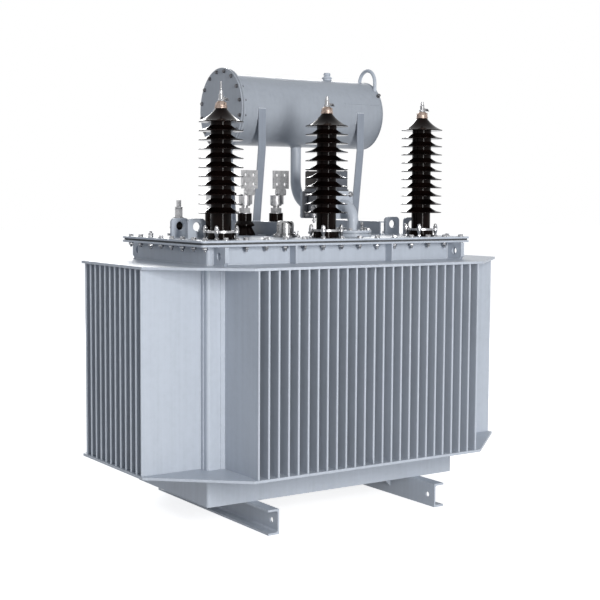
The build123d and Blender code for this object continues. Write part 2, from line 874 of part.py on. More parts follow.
with BuildPart() as pipe_pad:
    with BuildSketch(Plane((pipe_x, tank_pipe_y, cover_top))):
        Circle(pad_radius)
    extrude(amount=pad_height)
    with BuildSketch(Plane((pipe_x, tank_pipe_y, pad_top))):
        Circle(pad_radius - pad_gasket_inset)
    extrude(amount=pad_gasket)
save(pipe_pad.part, "pipe_pad")
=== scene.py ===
import json
import math
import random

import bmesh
import bpy
from mathutils import Matrix, Vector


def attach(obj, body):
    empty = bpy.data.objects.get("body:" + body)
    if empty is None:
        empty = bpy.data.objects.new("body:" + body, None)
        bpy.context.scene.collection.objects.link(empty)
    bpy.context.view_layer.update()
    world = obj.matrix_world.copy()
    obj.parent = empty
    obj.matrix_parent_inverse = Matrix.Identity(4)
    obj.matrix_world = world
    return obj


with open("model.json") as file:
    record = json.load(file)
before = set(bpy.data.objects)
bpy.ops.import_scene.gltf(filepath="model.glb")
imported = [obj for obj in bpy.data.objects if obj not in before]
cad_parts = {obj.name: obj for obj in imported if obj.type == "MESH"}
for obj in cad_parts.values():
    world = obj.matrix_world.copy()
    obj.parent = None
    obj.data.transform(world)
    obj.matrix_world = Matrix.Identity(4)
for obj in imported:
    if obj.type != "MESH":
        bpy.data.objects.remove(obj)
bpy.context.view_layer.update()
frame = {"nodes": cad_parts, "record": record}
nodes = frame["nodes"]
scene = bpy.context.scene
MM = 0.001

# Camera, at the photograph's viewing angle
CAMERA_PLACE = (-3.012, -4.500, 1.313)
CAMERA_YAW = 33.87
CAMERA_PITCH = 4.71
CAMERA_ROLL = 0.31
CAMERA_LENS = 75.5
SENSOR = 36.0

# Places on the solids, in millimetres, and slopes in degrees
COVER_TOP = 1142.0
RIM_BOTTOM = 1118.0
UPPER_PLATE_TOP = 1046.0
LOWER_PLATE_BOTTOM = 237.0
TANK_FLOOR = 100.0
FOOT_EDGES = (392.0, 442.0)
GUSSET_YS = (-150, 150)
GUSSET_INNER = 328
GUSSET_OUTER = 390
GUSSET_BOTTOM = 36
GUSSET_TOP = 98
NECK_X = 621.5
NECK_Y = 299.0
BOLT_ROW_X = 640.0
BOLT_ROW_Y = 316.0
BOLTS_ALONG_X = 15
BOLTS_ALONG_Y = 8
RIB_X = 241.0
BASE_RIB_BOTTOM = 190
TANK_LUG_X = 588.0
TANK_LUG_TOP_REACH = 344
TANK_LUG_FOOT_REACH = 372
COVER_LUG_X = 549.0
COVER_LUG_YS = (-83.0, 57.0)
BEAM_XS = (-56.0, 480.0)
BEAM_HALF = 20.0
BEAM_FRONT_Y = 28.0
BEAM_TOP = 1202.0
LEG_HALF = 18.5
LEG_FEET_Y = (250.0, 488.0)
LEG_WELD_SLOPE = 18
HV_XS = (-506.0, 0.0, 506.0)
HV_Y = -205.0
HV_RING_TOP = 1177.0
HV_STUD_CIRCLE = 64.0
HV_HEAD_Z = 1654.0
HV_HEAD_TOP = 1682.0
HV_STUD_STEP = 1707.0
HV_SIDE_SCREW_Z = HV_HEAD_TOP + 9
LV_XS = (-304.0, -141.0, 22.0)
LV_Y = 215.0
LV_PORCELAIN_TOP = 1237.0
LV_CLAMP_Z = 1274.0
LV_CLAMP_TOP = 1316.0
NEUTRAL_X = -467.0
NEUTRAL_TOP = 1220.0
RELIEF = (-125.0, -85.0)
RELIEF_BOLTS = 6
RELIEF_CIRCLE = 46
COVER_PLUG = (-32, 262)
SHELL_Y = 369.0
SHELL_Z = 1695.0
SHELL_R = 156.0
SHELL_LEFT = -154.0
SHELL_RIGHT = 609.0
SEAM_LEFT = 395
SEAM_SLOPE = 16
PLATE_LEFT = -173.0
PLATE_BOLTS = 16
PLATE_CIRCLE = 168.0
PIPE_X = 228.0
PIPE_Z = 1276.0
PIPE_R = 24.0
PAD_Y = -82.0
PAD_TOP = 1168.0
PAD_RADIUS = 80
PAD_BOLTS = 8
PAD_CIRCLE = 66
TALL_PAD_BOLT = 6
REAR_FLANGES = (238.0, 206.0)
FRONT_FLANGES = (4.0, 36.0)
FLANGE_BOLT = 47.0
RELAY_Y = 121
RELAY_HEAD_Z = 1332
RELAY_HEAD_TOP = 1425
COCK_Y = 104
COCK_Z = 1262
EYE_X = 600.0
EYE_YS = (262, 382)
VENT_X = 601
VENT_SLOPE = 33
CAP_X = 401.0

# Radii of the weld beads, in millimetres
SEAM_BEAD = 1.8
FINE_BEAD = 2.4
SMALL_BEAD = 2.6
PIPE_BEAD = 2.8
BEAD = 3.0
HEAVY_BEAD = 3.2

# Short welds in a row along the beams, in millimetres
STITCH_LENGTH = 60
STITCH_STEP = 105
STITCH_END_Y = 345

# Angle above which an edge between faces stays sharp, in degrees
PIECE_SHARP = 35
WELD_SHARP = 60


def make_camera():
    yaw, pitch, roll = (math.radians(a) for a in (CAMERA_YAW, CAMERA_PITCH, CAMERA_ROLL))
    forward = Vector((math.sin(yaw) * math.cos(pitch), math.cos(yaw) * math.cos(pitch), -math.sin(pitch)))
    level = Vector((math.cos(yaw), -math.sin(yaw), 0))
    above = level.cross(forward)
    right = level * math.cos(roll) + above * math.sin(roll)
    up = above * math.cos(roll) - level * math.sin(roll)
    turn = Matrix((right, up, -forward)).transposed().to_4x4()
    data = bpy.data.cameras.new("camera")
    data.lens = CAMERA_LENS
    data.sensor_width = SENSOR
    data.clip_end = 100
    camera = bpy.data.objects.new("camera", data)
    camera.matrix_world = Matrix.Translation(CAMERA_PLACE) @ turn
    scene.collection.objects.link(camera)
    scene.camera = camera


make_camera()
scene.view_settings.view_transform = "Standard"


# Materials
class Look:
    """A material and short ways to add procedural nodes to it."""

    def __init__(self, name, **values):
        self.material = bpy.data.materials.new(name)
        self.material.use_nodes = True
        self.tree = self.material.node_tree
        self.shader = self.tree.nodes["Principled BSDF"]
        self.place = self.node("ShaderNodeTexCoord").outputs["Object"]
        for key, value in values.items():
            self.shader.inputs[key.replace("_", " ")].default_value = value

    def node(self, kind, **settings):
        made = self.tree.nodes.new(kind)
        for key, value in settings.items():
            setattr(made, key, value)
        return made

    def join(self, source, target):
        self.tree.links.new(source, target)

    def noise(self, scale, detail=3.0, stretch=(1, 1, 1), roughness=0.5):
        mapping = self.node("ShaderNodeMapping")
        mapping.inputs["Scale"].default_value = stretch
        self.join(self.place, mapping.inputs["Vector"])
        noise = self.node("ShaderNodeTexNoise")
        noise.inputs["Scale"].default_value = scale
        noise.inputs["Detail"].default_value = detail
        noise.inputs["Roughness"].default_value = roughness
        self.join(mapping.outputs["Vector"], noise.inputs["Vector"])
        return noise.outputs["Fac"]

    def math(self, operation, a, b):
        made = self.node("ShaderNodeMath", operation=operation)
        for socket, value in zip(made.inputs, (a, b)):
            if isinstance(value, (int, float)):
                socket.default_value = value
            else:
                self.join(value, socket)
        return made.outputs[0]

    def span(self, value, low, high, to_low, to_high):
        made = self.node("ShaderNodeMapRange")
        for key, number in (("From Min", low), ("From Max", high), ("To Min", to_low), ("To Max", to_high)):
            made.inputs[key].default_value = number
        self.join(value, made.inputs["Value"])
        return made.outputs["Result"]

    def ramp(self, value, stops):
        made = self.node("ShaderNodeValToRGB")
        ramp = made.color_ramp
        while len(ramp.elements) < len(stops):
            ramp.elements.new(0.5)
        for element, (place, colour) in zip(ramp.elements, stops):
            element.position = place
            element.color = (*colour, 1)
        self.join(value, made.inputs["Fac"])
        return made.outputs["Color"]

    def blend(self, factor, a, b):
        made = self.node("ShaderNodeMix", data_type="RGBA")
        self.join(factor, made.inputs["Factor"])
        for socket, value in ((made.inputs[6], a), (made.inputs[7], b)):
            if isinstance(value, tuple):
                socket.default_value = (*value, 1)
            else:
                self.join(value, socket)
        return made.outputs[2]

    def bump(self, height, strength, distance, normal=None):
        made = self.node("ShaderNodeBump")
        made.inputs["Strength"].default_value = strength
        made.inputs["Distance"].default_value = distance
        self.join(height, made.inputs["Height"])
        if normal is not None:
            self.join(normal, made.inputs["Normal"])
        return made.outputs["Normal"]

    def rounded(self, radius):
        made = self.node("ShaderNodeBevel", samples=4)
        made.inputs["Radius"].default_value = radius
        return made.outputs["Normal"]

    def edge(self, rounded_normal, sharp, soft):
        """1 on a rounded edge and 0 on flat faces."""
        true_normal = self.node("ShaderNodeNewGeometry").outputs["Normal"]
        dot = self.node("ShaderNodeVectorMath", operation="DOT_PRODUCT")
        self.join(rounded_normal, dot.inputs[0])
        self.join(true_normal, dot.inputs[1])
        return self.span(dot.outputs["Value"], sharp, soft, 1.0, 0.0)

    def use(self, socket, value):
        self.join(value, self.shader.inputs[socket])


# How far edges look rounded, in metres
METAL_EDGE = 0.0008
PAINT_EDGE = 0.0022
CAST_EDGE = 0.003


def scaled(colour, factor):
    return tuple(c * factor for c in colour)


def paint_look(name, tone, lit_and_worn_edge_tone, edge_radius=PAINT_EDGE):
    """Sprayed enamel: faint runs and mottle, orange peel, and edges painted lighter, a painted highlight
    where light catches them, partly paint wear.
    """
    look = Look(name, Metallic=0.0, Specular_IOR_Level=0.32)
    broad = look.noise(1.7, 4)
    fine = look.noise(46, 5, roughness=0.65)
    streak = look.noise(1.0, 4, stretch=(52, 52, 1.1), roughness=0.6)
    mixed = look.math("ADD", look.math("MULTIPLY", broad, 0.42), look.math("MULTIPLY", streak, 0.34))
    mixed = look.math("ADD", mixed, look.math("MULTIPLY", fine, 0.24))
    stops = [(0.36, scaled(tone, 0.90)), (0.50, tone), (0.64, scaled(tone, 1.07))]
    colour = look.ramp(mixed, stops)
    round_normal = look.rounded(edge_radius)
    # Rounded edges blend towards a lighter tone: painted highlight, partly paint wear.
    lit_and_worn_edge = look.math("MULTIPLY", look.edge(round_normal, 0.86, 0.985), look.span(fine, 0.35, 0.6, 0.35, 0.9))
    look.use("Base Color", look.blend(lit_and_worn_edge, colour, lit_and_worn_edge_tone))
    look.use("Roughness", look.span(mixed, 0.35, 0.65, 0.31, 0.47))
    peel = look.bump(look.noise(420, 2), 0.10, 0.0004, round_normal)
    look.use("Normal", look.bump(broad, 0.25, 0.010, peel))
    return look.material


def metal_look(name, tone, dull, rough, stretch=(1, 1, 1), grain=240):
    """Bare or plated metal with cloudy dull patches and a fine grain."""
    look = Look(name, Metallic=1.0)
    cloud = look.noise(60, 5, roughness=0.7)
    fine = look.noise(grain, 3, stretch=stretch)
    look.use("Base Color", look.ramp(cloud, [(0.34, dull), (0.56, tone), (0.75, scaled(tone, 1.12))]))
    look.use("Roughness", look.span(fine, 0.3, 0.7, rough * 0.75, rough * 1.35))
    look.use("Normal", look.bump(fine, 0.16, 0.0005, look.rounded(METAL_EDGE)))
    return look.material


def glaze_look():
    """Near-black brown porcelain glaze, with slight pooling and brush waves under the gloss."""
    look = Look("glaze", Specular_IOR_Level=0.05)
    pool = look.noise(14, 3)
    stops = [(0.35, (0.0022, 0.0013, 0.0012)), (0.62, (0.0065, 0.0032, 0.0026))]
    look.use("Base Color", look.ramp(pool, stops))
    look.use("Roughness", look.span(look.noise(90, 2), 0.3, 0.7, 0.08, 0.16))
    look.use("Normal", look.bump(look.noise(34, 2, stretch=(1, 1, 2.5)), 0.10, 0.0012))
    return look.material


def rubber_look():
    look = Look("gasket_rubber", Specular_IOR_Level=0.3)
    grain = look.noise(160, 4, roughness=0.7)
    look.use("Base Color", look.ramp(grain, [(0.35, (0.035, 0.037, 0.041)), (0.68, (0.12, 0.125, 0.135))]))
    look.use("Roughness", look.span(grain, 0.3, 0.7, 0.6, 0.85))
    look.use("Normal", look.bump(grain, 0.4, 0.0006))
    return look.material


def casting_look(name, tone, rough, gloss=0.45):
    """Painted sand casting with a pebbled skin."""
    look = Look(name, Specular_IOR_Level=gloss)
    cloud = look.noise(22, 5, roughness=0.65)
    pebble = look.noise(260, 3)
    stops = [(0.35, scaled(tone, 0.72)), (0.6, tone), (0.78, scaled(tone, 1.3))]
    look.use("Base Color", look.ramp(cloud, stops))
    look.use("Roughness", look.span(pebble, 0.3, 0.7, rough * 0.8, rough * 1.25))
    look.use("Normal", look.bump(pebble, 0.3, 0.0008, look.rounded(CAST_EDGE)))
    return look.material


def terminal_look():
    """Cast bronze head up to its top, then the tinned stud that stands on it."""
    look = Look("bronze", Metallic=1.0)
    cloud = look.noise(70, 5, roughness=0.7)
    cast_stops = [(0.34, (0.20, 0.150, 0.125)), (0.55, (0.40, 0.315, 0.27)), (0.75, (0.56, 0.47, 0.41))]
    cast = look.ramp(cloud, cast_stops)
    tin = look.ramp(cloud, [(0.34, (0.13, 0.13, 0.135)), (0.60, (0.37, 0.37, 0.375))])
    parts = look.node("ShaderNodeSeparateXYZ")
    look.join(look.place, parts.inputs[0])
    above = look.math("GREATER_THAN", parts.outputs["Z"], HV_HEAD_TOP * MM)
    look.use("Base Color", look.blend(above, cast, tin))
    grain = look.noise(330, 3)
    look.use("Roughness", look.span(grain, 0.3, 0.7, 0.28, 0.5))
    look.use("Normal", look.bump(grain, 0.35, 0.0006, look.rounded(METAL_EDGE)))
    return look.material


# The third colour of each paint is its lighter edge tone: painted highlight, partly paint wear.
PAINT = (0.445, 0.485, 0.545)
looks = {
    "paint": paint_look("paint", PAINT, (0.78, 0.81, 0.86)),
    "gasket_rubber": rubber_look(),
    "glaze": glaze_look(),
    "plated_steel": metal_look("plated_steel", (0.46, 0.465, 0.48), (0.22, 0.22, 0.23), 0.30),
    "bronze": terminal_look(),
    "tinned_copper": metal_look(
        "tinned_copper", (0.50, 0.50, 0.51), (0.33, 0.33, 0.34), 0.42, stretch=(1, 1, 14), grain=120
    ),
    "stainless": metal_look(
        "stainless", (0.36, 0.36, 0.365), (0.27, 0.27, 0.275), 0.20, stretch=(1, 1, 20), grain=60
    ),
    "relay_casting": casting_look("relay_casting", (0.105, 0.115, 0.135), 0.42),
}
# Darker copies of the tank paint for the conservator and the supports: painted shade, since these parts wear
# the same paint as the tank.
shell_shaded_paint = paint_look("paint_conservator_shaded", (0.335, 0.365, 0.41), (0.66, 0.69, 0.75))
support_shaded_paint = paint_look("paint_support_shaded", (0.255, 0.285, 0.335), (0.50, 0.53, 0.58))
bead_paint = paint_look("paint_weld", (0.53, 0.565, 0.62), (0.80, 0.83, 0.88), METAL_EDGE)
lug_paint = paint_look("paint_lug", (0.43, 0.47, 0.53), (0.72, 0.75, 0.80))
# Dark steel for the screws and the vent plug. On the end plate's bolts it is painted shade.
dark_steel_and_shade = metal_look("dark_steel_and_shade", (0.14, 0.14, 0.15), (0.07, 0.07, 0.075), 0.4)
brass = metal_look("brass", (0.62, 0.40, 0.16), (0.34, 0.2, 0.08), 0.35)
brown_plastic = casting_look("brown_cover", (0.034, 0.028, 0.026), 0.34, 0.15)
special = {
    "conservator_shell": shell_shaded_paint,
    "conservator_end_plate": shell_shaded_paint,
    "cover_lifting_lugs": lug_paint,
    "left_support": support_shaded_paint,
    "right_support": support_shaded_paint,
}
for part in frame["record"]["subparts"]:
    node = nodes[part["node"]]
    node.data.materials.clear()
    node.data.materials.append(special.get(part["node"], looks[part["material_slot"]]))


# Mesh helpers: every local frame is in millimetres
def spot(x, y, z, towards=(0, 0, 1), turn=0.0):
    """A local frame at a place, with its own Z along towards."""
    aim = Vector(towards).to_track_quat("Z", "Y").to_matrix().to_4x4()
    place = Matrix.Translation(Vector((x, y, z)) * MM)
    return place @ aim @ Matrix.Rotation(turn, 4, "Z") @ Matrix.Scale(MM, 4)


def polar(radius, angle, height=0.0):
    return Vector((radius * math.cos(angle), radius * math.sin(angle), height))


def lathe(bm, place, profile, segments=20):
    """Turns (radius, height) pairs round the local Z. A radius of 0 closes an end."""
    rings = []
    for radius, height in profile:
        count = 1 if radius == 0 else segments
        ring = []
        for k in range(count):
            angle = 2 * math.pi * k / segments
            ring.append(bm.verts.new(place @ polar(radius, angle, height)))
        rings.append(ring)
    for low, high in zip(rings, rings[1:]):
        for k in range(segments):
            n = (k + 1) % segments
            if len(low) == 1 and len(high) > 1:
                bm.faces.new((low[0], high[n], high[k]))
            elif len(high) == 1 and len(low) > 1:
                bm.faces.new((low[k], low[n], high[0]))
            elif len(low) > 1:
                bm.faces.new((low[k], low[n], high[n], high[k]))


def slab(bm, place, low, high, edge):
    """A block between two corners with chamfered edges."""
    corners = []
    for x in (low[0], high[0]):
        for y in (low[1], high[1]):
            for z in (low[2], high[2]):
                corners.append(bm.verts.new(place @ Vector((x, y, z))))
    made = []
    for loop in ((0, 1, 3, 2), (4, 6, 7, 5), (0, 4, 5, 1), (2, 3, 7, 6), (0, 2, 6, 4), (1, 5, 7, 3)):
        made.append(bm.faces.new([corners[i] for i in loop]))
    edges = list({e for f in made for e in f.edges})
    bmesh.ops.bevel(bm, geom=edges, offset=edge * MM, segments=2, affect="EDGES", profile=0.6)


def tube(bm, points, radius, closed=False, sides=8, swell=None):
    """A round bar or bead along points in millimetres. swell gives a factor for each ring."""
    places = [Vector(p) * MM for p in points]
    total = len(places)
    rings = []
    for k, here in enumerate(places):
        before = places[k - 1] if k or closed else here
        after = places[(k + 1) % total] if k + 1 < total or closed else here
        aim = (after - before).to_track_quat("Z", "Y").to_matrix()
        size = radius * MM * (swell[k] if swell else 1.0)
        ring = []
        for s in range(sides):
            angle = 2 * math.pi * s / sides
            ring.append(bm.verts.new(here + aim @ polar(size, angle)))
        rings.append(ring)
    pairs = list(zip(rings, rings[1:]))
    if closed:
        pairs.append((rings[-1], rings[0]))
    for low, high in pairs:
        shift = 0
        if low is rings[-1]:
            shift = min(range(sides), key=lambda s: (low[0].co - high[s].co).length)
        for s in range(sides):
            n = (s + 1) % sides
            bm.faces.new((low[s], low[n], high[(n + shift) % sides], high[(s + shift) % sides]))
    if not closed:
        bm.faces.new(rings[0])
        bm.faces.new(rings[-1])


def settle_order(bm):
    """Orders the faces by their corners. The bevel alone may order them differently in another run."""
    bm.verts.index_update()
    ordered = sorted(bm.faces, key=lambda face: sorted(v.index for v in face.verts))
    rank = {face: k for k, face in enumerate(ordered)}
    bm.faces.sort(key=rank.get)


def piece(name, build, slot, look=None, sharp=PIECE_SHARP):
    """A finished mesh that rides on the body. Its look is the slot's own, unless one is given."""
    bm = bmesh.new()
    build(bm)
    settle_order(bm)
    bmesh.ops.recalc_face_normals(bm, faces=bm.faces)
    mesh = bpy.data.meshes.new(name)
    bm.to_mesh(mesh)
    bm.free()
    mesh.polygons.foreach_set("use_smooth", [True] * len(mesh.polygons))
    mesh.set_sharp_from_angle(angle=math.radians(sharp))
    mesh.materials.append(look or looks[slot])
    made = bpy.data.objects.new(name, mesh)
    scene.collection.objects.link(made)
    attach(made, "root")


# Fasteners
def washer(bm, place, radius, thickness=2.5, z=0.0):
    top = z + thickness
    profile = [(0, z), (radius, z), (radius, z + thickness * 0.7), (radius * 0.95, top), (0, top)]
    lathe(bm, place, profile)


def hexagon(bm, place, radius, height, z=0.0, both=False):
    """A nut or bolt head, across its corners 2 x radius, chamfered on top."""
    low = [(0, z), (radius * 0.90, z), (radius, z + height * 0.14)] if both else [(0, z), (radius, z)]
    high = [(radius, z + height * 0.84), (radius * 0.88, z + height), (0, z + height)]
    lathe(bm, place, low + high, 6)


def thread(bm, place, radius, length, z=0.0):
    """A bolt end with a few turns of thread and a chamfered tip."""
    profile = [(0, z), (radius, z)]
    turns = max(1, int(length / 2.4))
    for k in range(turns):
        at = z + length * 0.86 * (k + 0.5) / turns
        profile += [(radius * 0.90, at), (radius, at + length * 0.43 / turns)]
    profile += [(radius * 0.72, z + length), (0, z + length)]
    lathe(bm, place, profile, 12)


def dome(bm, place, radius, height, z=0.0):
    """An acorn top: a short collar and a rounded end."""
    steps = 5
    profile = [(0, z), (radius, z), (radius, z + height * 0.35)]
    for k in range(1, steps + 1):
        angle = math.pi / 2 * k / steps
        at = z + height * (0.35 + 0.65 * math.sin(angle))
        profile.append((radius * math.cos(angle) if k < steps else 0, at))
    lathe(bm, place, profile, 14)


# Bolts round the cover
def cover_bolt_places():
    along_x = [-BOLT_ROW_X + 2 * BOLT_ROW_X * i / (BOLTS_ALONG_X - 1) for i in range(BOLTS_ALONG_X)]
    along_y = [-BOLT_ROW_Y + 2 * BOLT_ROW_Y * i / (BOLTS_ALONG_Y - 1) for i in range(BOLTS_ALONG_Y)]
    places = [(x, side * BOLT_ROW_Y) for side in (-1, 1) for x in along_x]
    places += [(side * BOLT_ROW_X, y) for side in (-1, 1) for y in along_y[1:-1]]
    return places


TALL_BOLT = (-BOLT_ROW_X, BOLT_ROW_Y * 3 / 7)


def cover_heads(bm):
    rng = random.Random(4)
    for x, y in cover_bolt_places():
        here = spot(x, y, COVER_TOP, turn=rng.uniform(0, math.pi / 3))
        washer(bm, here, 12.5)
        hexagon(bm, here, 10.6, 8.0, 2.5)
        if abs(x - TALL_BOLT[0]) < 1 and abs(y - TALL_BOLT[1]) < 1:
            thread(bm, here, 6.0, 16.0, 10.5)
            hexagon(bm, here, 10.4, 7.0, 11.0, both=True)


def cover_nuts(bm):
    rng = random.Random(9)
    for x, y in cover_bolt_places():
        here = spot(x, y, RIM_BOTTOM, (0, 0, -1), rng.uniform(0, math.pi / 3))
        washer(bm, here, 12.5)
        hexagon(bm, here, 10.6, 10.0, 2.5, both=True)
        thread(bm, here, 6.0, rng.uniform(7.0, 11.0), 12.5)


piece("cover_bolt_heads", cover_heads, "plated_steel")
piece("cover_nuts", cover_nuts, "plated_steel")


# High-voltage bushings: nuts on the clamp studs, and fittings on the head
def hv_clamp_nuts(bm):
    rng = random.Random(2)
    for x in HV_XS:
        for quarter in range(4):
            angle = math.radians(45 + 90 * quarter)
            sx = x + HV_STUD_CIRCLE * math.cos(angle)
            sy = HV_Y + HV_STUD_CIRCLE * math.sin(angle)
            turn = rng.uniform(0, math.pi / 3)
            here = spot(sx, sy, HV_RING_TOP, turn=turn)
            washer(bm, here, 10.5, 2.0)
            hexagon(bm, here, 9.6, 8.0, 2.0, both=True)
            dome(bm, here, 7.4, 10.5, 10.0)
            foot = spot(sx, sy, COVER_TOP, turn=turn)
            washer(bm, foot, 11.0, 2.0)
            hexagon(bm, foot, 9.0, 6.0, 2.0, both=True)


def hv_head_nuts(bm):
    for x in HV_XS:
        here = spot(x, HV_Y, HV_HEAD_TOP, turn=0.4)
        washer(bm, here, 13.5, 2.0)
        hexagon(bm, here, 12.6, 7.0, 2.0, both=True)
        thread(bm, here, 9.6, 8.0, 10.5)
        tip = spot(x, HV_Y, HV_STUD_STEP, turn=0.1)
        hexagon(bm, tip, 9.2, 4.5, -1.0, both=True)
        profile = [(0, 3.0), (7.4, 3.0), (6.4, 12.0), (6.2, 16.0), (4.6, 18.0), (0, 18.0)]
        lathe(bm, tip, profile, 16)


def hv_head_castings(bm):
    """A collar under each head, the raised slot boss and the boss of the side screw."""
    for x in HV_XS:
        here = spot(x, HV_Y, HV_HEAD_Z)
        collar = [(0, -2), (23, -2), (25.4, 0.5), (25.8, 3.5), (24.4, 5.5), (0, 5.5)]
        lathe(bm, here, collar, 32)
        side = spot(x, HV_Y, HV_SIDE_SCREW_Z, (1, 0, 0))
        lathe(bm, side, [(0, 6), (7.6, 6), (8.2, 9), (8.2, 13), (6.4, 16), (0, 16)], 16)
        rib = spot(x, HV_Y, HV_HEAD_Z, (0, 0, 1), math.radians(20))
        slab(bm, rib, (-3.6, -25.5, 4), (3.6, -15, 23), 1.4)
        slab(bm, rib, (-3.6, 15, 4), (3.6, 25.5, 23), 1.4)


def hv_wing_screws(bm):
    for x in HV_XS:
        side = spot(x, HV_Y, HV_SIDE_SCREW_Z, (1, 0, 0))
        lathe(bm, side, [(0, 22), (5.4, 22), (5.8, 24), (5.8, 29), (4.6, 31), (0, 31)], 14)
        for turn in (0.5, 0.5 + math.pi):
            wing = side @ Matrix.Rotation(turn, 4, "Z")
            slab(bm, wing, (3.5, -1.6, 24.5), (11.5, 1.6, 31.5), 1.2)


piece("hv_clamp_nuts", hv_clamp_nuts, "plated_steel")
piece("hv_head_nuts", hv_head_nuts, "plated_steel")
piece("hv_head_castings", hv_head_castings, "bronze")
piece("hv_wing_screws", hv_wing_screws, "plated_steel", dark_steel_and_shade)


# Low-voltage and neutral terminals
def lv_fittings(bm):
    for k, x in enumerate(LV_XS):
        base = spot(x, LV_Y, LV_PORCELAIN_TOP, turn=0.3 + k)
        washer(bm, base, 30.0, 3.5)
        thread(bm, spot(x, LV_Y, LV_CLAMP_Z - 12), 14.4, 12.0)
        washer(bm, spot(x, LV_Y, LV_CLAMP_Z - 4), 23.0, 4.0)
        ear = spot(x, LV_Y, LV_CLAMP_Z)
        slab(bm, ear, (-34, -9, 3), (-22, 9, 46), 2.0)
        collar = [(0, 39.5), (26.6, 39.5), (27.2, 41), (26.4, 43.5), (17, 45.5), (0, 45.5)]
        lathe(bm, ear, collar, 28)


def lv_bolts(bm):
    for k, x in enumerate(LV_XS):
        clamp = spot(x - 29, LV_Y - 9, LV_CLAMP_Z + 13, (0, -1, 0), 0.2 + k)
        hexagon(bm, clamp, 4.6, 3.4)
        neck = spot(x + 6, LV_Y - 5, LV_CLAMP_TOP + 12, (0, -1, 0), 0.4)
        washer(bm, neck, 8.5, 1.8)
        hexagon(bm, neck, 7.4, 6.0, 1.8)


def neutral_fittings(bm):
    here = spot(NEUTRAL_X, LV_Y, NEUTRAL_TOP)
    washer(bm, here, 22.0, 3.0)
    washer(bm, here, 17.0, 2.5, 17.0)
    washer(bm, here, 17.0, 2.5, 36.0)
    thread(bm, here, 10.4, 34.0, 40.0)
    lock = spot(NEUTRAL_X, LV_Y, NEUTRAL_TOP + 38.5, turn=0.5)
    hexagon(bm, lock, 16.0, 8.0, 0.0, both=True)


piece("lv_clamp_fittings", lv_fittings, "tinned_copper")
piece("lv_clamp_bolts", lv_bolts, "plated_steel")
piece("neutral_fittings", neutral_fittings, "plated_steel")


# Pressure relief valve: its ring's bolts, a small stud beside it and beads round the dome. One
# more plug stands on the cover behind it.
def relief_bolts(bm):
    for k in range(RELIEF_BOLTS):
        angle = math.radians(20 + 60 * k)
        x = RELIEF[0] + RELIEF_CIRCLE * math.cos(angle)
        y = RELIEF[1] + RELIEF_CIRCLE * math.sin(angle)
        here = spot(x, y, COVER_TOP + 8, turn=0.3 * k)
        hexagon(bm, here, 5.6, 4.6)
    stud = spot(RELIEF[0] + 50, RELIEF[1] - 22, COVER_TOP, turn=0.2)
    washer(bm, stud, 9.0, 2.0)
    hexagon(bm, stud, 7.6, 6.0, 2.0)
    dome(bm, stud, 4.4, 20.0, 8.0)
    plug = spot(*COVER_PLUG, COVER_TOP, turn=0.6)
    washer(bm, plug, 9.0, 2.0)
    hexagon(bm, plug, 8.0, 9.0, 2.0)


def relief_trim(bm):
    here = spot(RELIEF[0], RELIEF[1], COVER_TOP)
    foot = [(36, 12.5), (43.2, 12.5), (44.0, 14.0), (43.2, 15.6), (36, 16.8), (36, 12.5)]
    rim = [(36, 50.5), (36.5, 51.3), (36.4, 53.0), (35.8, 54.0), (34, 54.0), (34, 50.5), (36, 50.5)]
    for profile in (foot, rim):
        lathe(bm, here, profile, 48)


piece("relief_bolts", relief_bolts, "plated_steel")
piece("relief_trim", relief_trim, "stainless")


# Gas relay: flange bolts, rim and side ribs, terminal cover, screws and sampling cock
def relay_flange_bolts(bm):
    for (y_head, y_nut), out in ((REAR_FLANGES, 1), (FRONT_FLANGES, -1)):
        for sx in (-1, 1):
            for sz in (-1, 1):
                x = PIPE_X + sx * FLANGE_BOLT
                z = PIPE_Z + sz * FLANGE_BOLT
                head = spot(x, y_head, z, (0, out, 0), 0.3 * sx + sz)
                washer(bm, head, 12.0)
                hexagon(bm, head, 10.4, 8.0, 2.5)
                nut = spot(x, y_nut, z, (0, -out, 0), 0.5)
                washer(bm, nut, 12.0)
                hexagon(bm, nut, 10.4, 9.0, 2.5, both=True)
                thread(bm, nut, 6.0, 6.0, 11.5)


def relay_band(bm):
    """The rim of the head's lower casting and the ribs down the body's sides."""
    here = spot(PIPE_X, RELAY_Y, RELAY_HEAD_Z)
    slab(bm, here, (-62.5, -83.5, 0.5), (62.5, 83.5, 13), 2.0)
    for sx in (-1, 1):
        for y in (-50, 0, 50):
            slab(bm, here, (sx * 51 - 2, y - 3, -84), (sx * 51 + 2, y + 3, -4), 1.2)


def relay_cover(bm):
    here = spot(PIPE_X, RELAY_Y, RELAY_HEAD_Z)
    slab(bm, here, (-55, -85.2, 16), (55, -81, 90), 1.6)
    slab(bm, here, (60, -76, 16), (63.2, 76, 90), 1.4)


def relay_screws(bm):
    for sx in (-1, 1):
        for sy in (-1, 1):
            here = spot(PIPE_X + sx * 52, RELAY_Y + sy * 73, RELAY_HEAD_TOP, turn=sx)
            lathe(bm, here, [(0, -1), (5.6, -1), (5.6, 1.6), (4.4, 2.8), (0, 2.8)], 14)
    knob = spot(PIPE_X + 61, 60, 1318, (1, 0, 0))
    lathe(bm, knob, [(0, -12), (7, -12), (7, -2), (10, 0), (10.5, 5), (8.5, 9), (0, 9)], 18)


